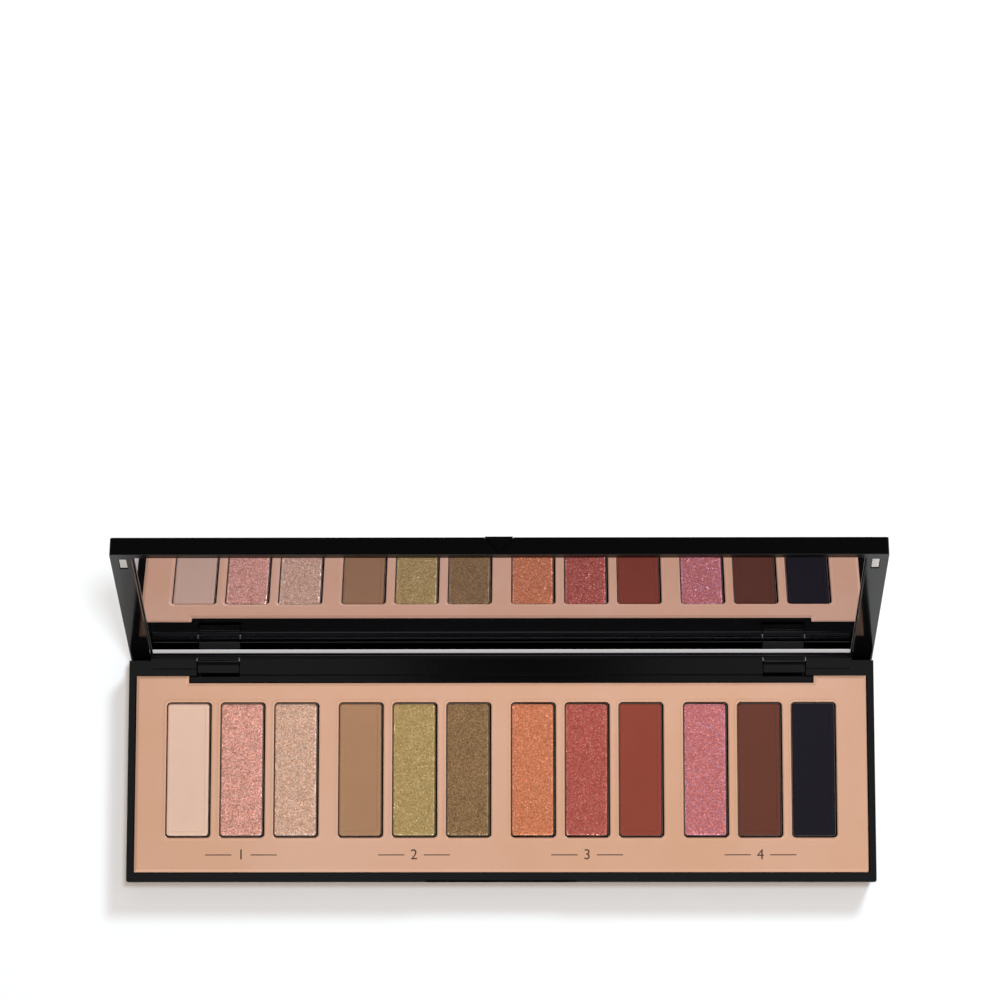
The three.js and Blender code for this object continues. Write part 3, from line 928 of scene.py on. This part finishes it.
@dataclass
class Pans:
    """The twelve drawn pans, each with its pressed powder."""

    wall: float = 0.12
    lip: float = 0.04
    lip_drop: float = 0.3
    radius: float = 0.7
    fill: Pair = (0.13, 0.08)
    crown: float = 0.04
    border: float = 0.85
    skirt: Pair = (0.5, 0.3)
    shoulder: tuple[Triple, ...] = (
        (0.0, -0.25, 0.0), (0.07, -0.14, 0.05), (0.18, -0.06, 0.12), (0.36, 0.0, 0.22), (0.55, 0.03, 0.3))

    def build(self) -> list[Piece]:
        """Builds and dresses every pan and powder.

        Returns:
            The pieces.
        """
        tin = BareMetal("drawn_tin", "c9c7c2", 0.3, (1.0, 1.0, 0.1)).build()
        pieces = []
        for index, shade in enumerate(SHADES):
            number = f"{index + 1:02d}"
            pieces.append(dress(self._pan(number), tin, Body.BASE, "pan_metal", f"pan_{number}"))
            powder = self._powder(number, shade.effect)
            pieces.append(dress(powder, shade.build(), Body.BASE, f"powder_{shade.name}", f"powder_{number}"))
        return pieces

    def _pan(self, number: str) -> Piece:
        """Makes one thin-walled pan with a rolled lip.

        Args:
            number: The pan's number.

        Returns:
            The pan.
        """
        low, high = cad_box(f"pan_{number}")
        top, bottom = high.z - self.lip_drop, low.z
        inner = self.radius - self.wall
        shape = Shape()
        shape.loft(low.xy, high.xy, [
            (0.25, bottom, self.radius - 0.25), (0.07, bottom + 0.07, self.radius - 0.07),
            (0.0, bottom + 0.25, self.radius),
            (0.0, top - self.lip, self.radius), (self.lip, top, self.radius - self.lip),
            (self.wall - self.lip, top, inner + self.lip), (self.wall, top - self.lip, inner),
            (self.wall, bottom + self.wall + 0.1, inner), (self.wall + 0.1, bottom + self.wall, inner - 0.1)])
        return shape.object(f"tin_pan_{number}")

    def _powder(self, number: str, effect: Effect) -> Piece:
        """Makes one pressed powder: rounded shoulders, and a pressed border on the matte shades.

        Args:
            number: The pan's number.
            effect: How the shade catches the light.

        Returns:
            The powder.
        """
        low, high = cad_box(f"powder_{number}")
        low = low - Vector((*self.fill, 0))
        top, radius = high.z, self.radius
        side = self.lip_drop - 0.02
        rings = [(self.skirt[0], low.z, radius - 0.3), (self.skirt[1], low.z + 0.15, radius - 0.2),
                 (self.skirt[1], top - side, radius - 0.2), (0.0, top - side + 0.02, radius)]
        rings += [(inset, top + rise, radius - less) for inset, rise, less in self.shoulder]
        if effect is Effect.MATTE:
            rings += [(self.border, top + self.crown, 0.35), (self.border + 0.14, top - 0.07, 0.3),
                      (self.border + 0.5, top - 0.06, 0.3)]
        else:
            rings += [(0.8, top + self.crown, 0.35), (1.4, top + self.crown + 0.01, 0.3)]
        shape = Shape()
        shape.loft(low.xy, high.xy, rings)
        return shape.object(f"pressed_powder_{number}")


@dataclass
class GroupMarks:
    """The small print under each group of shades: a numeral between two fine rules."""

    numeral: float = 2.7
    rule: Pair = (6.5, 0.24)
    gap: float = 2.4
    below: float = 4.7
    groups: int = 4

    def build(self) -> list[Piece]:
        """Builds and dresses the marks.

        Returns:
            The pieces.
        """
        ink = DullStock("brown_ink", "4a2c22", 0.5, 0.2).build()
        low, high = cad_box("face_plate")
        per_group = len(SHADES) // self.groups
        pieces = []
        for group in range(self.groups):
            pans = [cad_box(f"pan_{group * per_group + i + 1:02d}") for i in range(per_group)]
            x = (pans[0][0].x + pans[-1][1].x) / 2
            y = pans[0][0].y - self.below
            pieces.append(dress(self._mark(group + 1, x, y, high.z), ink, Body.BASE, "plate_lacquer"))
        return pieces

    def _mark(self, number: int, x: float, y: float, z: float) -> Piece:
        """Makes one numeral with its rules as a single thin mesh, centred at x and y.

        Args:
            number: The group's number.
            x: Its centre.
            y: Its centre.
            z: The plate's face.

        Returns:
            The mark.
        """
        curve = bpy.data.curves.new(f"numeral_{number}", "FONT")
        curve.body = str(number)
        curve.size = self.numeral * 1.35
        curve.align_x = "CENTER"
        curve.align_y = "CENTER"
        curve.extrude = 0.006
        text = bpy.data.objects.new(f"numeral_{number}", curve)
        bpy.context.scene.collection.objects.link(text)
        bpy.context.view_layer.update()
        mesh = bpy.data.meshes.new_from_object(text)
        shape = Shape()
        shape.bm.from_mesh(mesh)
        bpy.data.objects.remove(text)
        bmesh.ops.translate(shape.bm, vec=(x, y, z + 0.008), verts=shape.bm.verts)
        half = self.rule[1] / 2
        for side in (-1, 1):
            near, far = sorted((x + side * self.gap, x + side * (self.gap + self.rule[0])))
            shape.loft((near, y - half), (far, y + half), [(0.0, z + 0.001, 0.05), (0.0, z + 0.013, 0.05)], 3)
        return shape.object(f"group_mark_{number}")


@dataclass
class Hardware:
    """Hinge pins and the closure magnets."""

    pin_chamfer: float = 0.12

    def build(self) -> list[Piece]:
        """Builds and dresses pins and magnets.

        Returns:
            The pieces.
        """
        steel = BareMetal("ground_steel", "c8cacd", 0.18).build()
        nickel = BareMetal("nickel_plate", "d6d2cc", 0.22, (1.0, 0.08, 1.0)).build()
        pieces = []
        for side in ("left", "right"):
            pieces.append(dress(self._pin(side), steel, Body.BASE, "pin_steel", f"hinge_pin_{side}"))
            for body, owner in ((Body.BASE, "base"), (Body.LID, "lid")):
                node = f"{owner}_magnet_{side}"
                block = refined_copy(node, f"{owner}_closure_magnet_{side}", 0.12)
                pieces.append(dress(block, nickel, body, "magnet_nickel", node))
        return pieces

    def _pin(self, side: str) -> Piece:
        """Makes one hinge pin with chamfered ends.

        Args:
            side: Left or right.

        Returns:
            The pin.
        """
        low, high = cad_box(f"hinge_pin_{side}")
        length, radius = high.x - low.x, (high.z - low.z) / 2
        shape = Shape()
        bmesh.ops.create_cone(
            shape.bm, cap_ends=True, segments=32, radius1=radius, radius2=radius, depth=length,
            matrix=Matrix.Translation((low + high) / 2) @ Matrix.Rotation(math.pi / 2, 4, "Y"))
        shape.bevel(self.pin_chamfer, 2, 60.0)
        return shape.object(f"pin_{side}")


@dataclass
class Mirror:
    """The lid's mirror with its seamed edge, and the foam tape behind it, sized in the lid's own frame."""

    half: float = 87.75
    front: float = -53.05
    back: float = 2.7
    face: float = 3.25
    thickness: float = 1.05
    seam: float = 0.35
    strip: float = 1.9
    pane_area: float = 0.001

    def build(self) -> list[Piece]:
        """Builds and dresses the mirror, the glowing band painted along its lower edge, and the tape.

        Returns:
            The pieces.
        """
        glass = self._glass()
        glass.data.materials.clear()
        glass.data.materials.append(SilveredGlass().build())
        frost_and_glow = GroundGlass().build()
        glass.data.materials.append(GroundGlass("seamed_glass", 0.0).build())
        for polygon in glass.data.polygons:
            polygon.material_index = 0 if polygon.area > self.pane_area else 1
        attach(glass, Body.LID, "mirror_glass", "mirror")
        # This band emits a painted glow standing in for the lit ground edge inside the glass.
        strip = dress(self._strip(), frost_and_glow, Body.LID, "mirror_glass")
        foam = DullStock("foam_tape", "d8d8d2", 0.9, 0.3).build()
        tape = dress(refined_copy("mirror_tape", "foam_tape_pad", 0.0), foam, Body.LID, "tape", "mirror_tape")
        return [glass, strip, tape]

    def _glass(self) -> Piece:
        """Makes the glass as a slab with a fine seamed edge on both faces.

        Returns:
            The glass.
        """
        shape = Shape()
        seam = self.seam * 0.5
        rear = self.face + self.thickness
        shape.loft((-self.half, self.front), (self.half, self.back), [
            (seam, self.face, 0.4), (0.0, self.face + seam, 0.6), (0.0, rear - seam, 0.6), (seam, rear, 0.4)])
        return shape.object("mirror_glass", LID_PLACE)

    def _strip(self) -> Piece:
        """Makes a thin band laid just proud of the mirror's face along its lower edge, which emits a painted
        glow standing in for the ground lower edge seen through the glass.

        Returns:
            The band.
        """
        shape = Shape()
        end, front, proud = self.half - 0.2, self.face - 0.002, self.face - 0.02
        shape.loft((-self.half + 0.2, self.back - self.strip), (end, self.back - 0.05), [
            (0.0, front, 0.05), (0.0, proud, 0.05), (0.05, proud - 0.01, 0.03)], 2)
        return shape.object("mirror_edge_glow_band", LID_PLACE)


@dataclass
class UnderLabel:
    """The paper label in the pocket under the base, with a generic shade key."""

    margin: float = 4.0
    patch: Pair = (6.4, 4.2)
    rules: int = 4
    rule_pitch: float = 1.5
    rule_width: float = 0.35

    def build(self) -> list[Piece]:
        """Builds and dresses the label and its printed key.

        Returns:
            The pieces.
        """
        paper = DullStock("label_paper", "eadfd3", 0.55, 0.08).build()
        ink = DullStock("label_ink", "5a4a42", 0.6, 0.1).build()
        low, high = cad_box("base_label")
        sheet = refined_copy("base_label", "label_sheet", 0.03)
        pieces = [dress(sheet, paper, Body.BASE, "label_paper", "base_label")]
        pitch = (high.x - low.x - 2 * self.margin) / len(SHADES)
        y = high.y - self.margin - self.patch[1] / 2
        for index, shade in enumerate(SHADES):
            x = low.x + self.margin + pitch * (index + 0.5)
            chip = self._print(f"key_patch_{index + 1:02d}", x, y, self.patch, low.z, 0.6)
            colour = DullStock(f"key_ink_{shade.name}", shade.colour, 0.6, 0.1).build()
            pieces.append(dress(chip, colour, Body.BASE, "label_paper"))
        for row in range(self.rules):
            y_row = low.y + self.margin * 0.6 + row * self.rule_pitch
            width = (high.x - low.x - 2 * self.margin) * (1.0 if row else 0.62)
            x_row = low.x + self.margin + width / 2
            line = self._print(f"key_rule_{row + 1}", x_row, y_row, (width, self.rule_width), low.z, 0.1)
            pieces.append(dress(line, ink, Body.BASE, "label_paper"))
        return pieces

    def _print(self, name: str, x: float, y: float, size: Pair, z: float,
               radius: float) -> Piece:
        """Makes one printed patch just under the label's face.

        Args:
            name: The patch's name.
            x: Its centre.
            y: Its centre.
            size: Its width and depth.
            z: The label's face.
            radius: Its corner radius.

        Returns:
            The patch.
        """
        shape = Shape()
        shape.loft((x - size[0] / 2, y - size[1] / 2), (x + size[0] / 2, y + size[1] / 2),
                   [(0.0, z - 0.004, radius), (0.0, z - 0.014, radius)], 4)
        return shape.object(name)


# ---- studio ----


@dataclass
class Studio:
    """The pale floor, the soft lights and the camera."""

    focal: float = 142.64
    camera_place: Triple = (10.3, -99.5, 992.3)
    camera_turn: Triple = (9.563, 0.612, 0.026)
    surround: float = 0.08
    boom_place: Triple = (1, 165, 1010)
    boom_size: Triple = (112, 130, 30)
    warm: Triple = (1.0, 0.84, 0.72)
    cool: Triple = (0.78, 0.9, 1.0)
    low_light: Piece | None = None
    high_light: Piece | None = None

    def build(self) -> None:
        """Builds everything round the object."""
        floor = self._floor()
        self._surround()
        self._camera()
        self._boom()
        product = self._group("product_lights_skip", [floor], "EXCLUDE")
        self._soft_light("key_light", (660, -400, 740), 420, 8.6, product)
        self._soft_light("fill_light", (-480, -460, 800), 480, 4.6, product)
        self._soft_light("ceiling_glow", (0, 150, 1500), 620, 0.52, product)
        self._soft_light("front_strip", (0, -640, 1040), 320, 0.6, product)
        table = self._group("floor_lights_reach", [floor], "INCLUDE")
        self._soft_light("floor_wash", (160, 320, 950), 1400, 2.6, table)
        even = self._soft_light("floor_even_light", (0, 0, 2500), 500, 20.0, table, self.warm)
        even.data.use_shadow = False
        self.high_light = self._soft_light("floor_high_light", (340, 110, 2500), 340, 21.0, table, self.cool)
        self.low_light = self._soft_light("floor_low_light", (560, 880, 1000), 330, 11.6, table, self.cool)

    def cast_shadows(self) -> None:
        """Lets every piece block the high light, but only the base block the low one: a short shadow."""
        base, lid = Body.BASE.value, Body.LID.value
        for light, bodies in ((self.low_light, (base,)), (self.high_light, (base, lid))):
            pieces = [o for o in bpy.context.scene.objects if o.get("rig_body") in bodies]
            light.light_linking.blocker_collection = self._group(f"{light.name}_blockers", pieces, "INCLUDE")

    def _group(self, name: str, members: list[Piece], state: str) -> bpy.types.Collection:
        """Makes a light-linking collection whose members are all included or all excluded.

        Args:
            name: The collection's name.
            members: What it holds.
            state: INCLUDE or EXCLUDE.

        Returns:
            The collection.
        """
        group = bpy.data.collections.new(name)
        for member in members:
            group.objects.link(member)
        for link in group.collection_objects:
            link.light_linking.link_state = state
        return group

    def _prop(self, name: str, bm: bmesh.types.BMesh, material: bpy.types.Material) -> Piece:
        """Ends a bmesh in metres as one object of the studio, and returns it.

        Args:
            name: Its name.
            bm: Its shape.
            material: Its finish.

        Returns:
            The object.
        """
        mesh = bpy.data.meshes.new(name)
        bm.to_mesh(mesh)
        bm.free()
        prop = bpy.data.objects.new(name, mesh)
        bpy.context.scene.collection.objects.link(prop)
        prop.data.materials.append(material)
        return prop

    def _floor(self) -> Piece:
        """Lays the pale floor and returns it."""
        bm = bmesh.new()
        bmesh.ops.create_grid(bm, x_segments=2, y_segments=2, size=3.0)
        return self._prop("floor", bm, DullStock("floor_paper", "faf8f6", 0.9, 0.01).build())

    def _boom(self) -> None:
        """Hangs the dark boom arm over the palette, which only shows as a reflection in the hinge deck."""
        bm = bmesh.new()
        bmesh.ops.create_cube(bm, size=1.0)
        size = Matrix.Diagonal(Vector(self.boom_size) * MM).to_4x4()
        bm.transform(Matrix.Translation(Vector(self.boom_place) * MM) @ size)
        boom = self._prop("camera_boom", bm, DullStock("boom_paint", "050505", 0.9, 0.1).build())
        boom.visible_camera = False

    def _surround(self) -> None:
        """Sets an even, dim surround for the gloss to reflect."""
        world = bpy.data.worlds.new("studio")
        bpy.context.scene.world = world
        world.use_nodes = True
        sky = world.node_tree.nodes["Background"].inputs
        sky["Color"].default_value = (1.0, 0.985, 0.97, 1.0)
        sky["Strength"].default_value = self.surround

    def _soft_light(self, name: str, place: Triple, size: float, power: float,
                    reach: bpy.types.Collection,
                    colour: Triple = (1.0, 1.0, 1.0)) -> Piece:
        """Hangs one square soft light, aimed at the palette.

        Args:
            name: The light's name.
            place: Its centre, in millimetres.
            size: Its side, in millimetres.
            power: Its power in watts.
            reach: What it lights.
            colour: Its colour.

        Returns:
            The light.
        """
        data = bpy.data.lights.new(name, "AREA")
        data.shape = "SQUARE"
        data.size = size * MM
        data.energy = power
        data.color = colour
        light = bpy.data.objects.new(name, data)
        light.location = Vector(place) * MM
        light.rotation_euler = light.location.to_track_quat("Z", "Y").to_euler()
        light.visible_camera = False
        light.light_linking.receiver_collection = reach
        bpy.context.scene.collection.objects.link(light)
        return light

    def _camera(self) -> None:
        """Sets the camera above and a little in front of the palette."""
        data = bpy.data.cameras.new("camera")
        data.lens = self.focal
        data.sensor_width = 36.0
        data.clip_start = 0.01
        data.clip_end = 20.0
        camera = bpy.data.objects.new("camera", data)
        camera.location = Vector(self.camera_place) * MM
        camera.rotation_euler = [math.radians(a) for a in self.camera_turn]
        bpy.context.scene.collection.objects.link(camera)
        bpy.context.scene.camera = camera


def main() -> None:
    """Builds the palette in order and reports each sub-assembly."""
    logging.basicConfig(level=logging.INFO, format="%(message)s")
    bpy.context.scene.view_settings.view_transform = "Standard"
    studio = Studio()
    studio.build()
    for assembly in (Casing(), Plate(), Pans(), GroupMarks(), Hardware(), Mirror(), UnderLabel()):
        made = assembly.build()
        count = len(made) if isinstance(made, list) else 1
        LOG.info("%s: %d pieces", type(assembly).__name__, count)
    studio.cast_shadows()


if __name__ == "__main__":
    main()
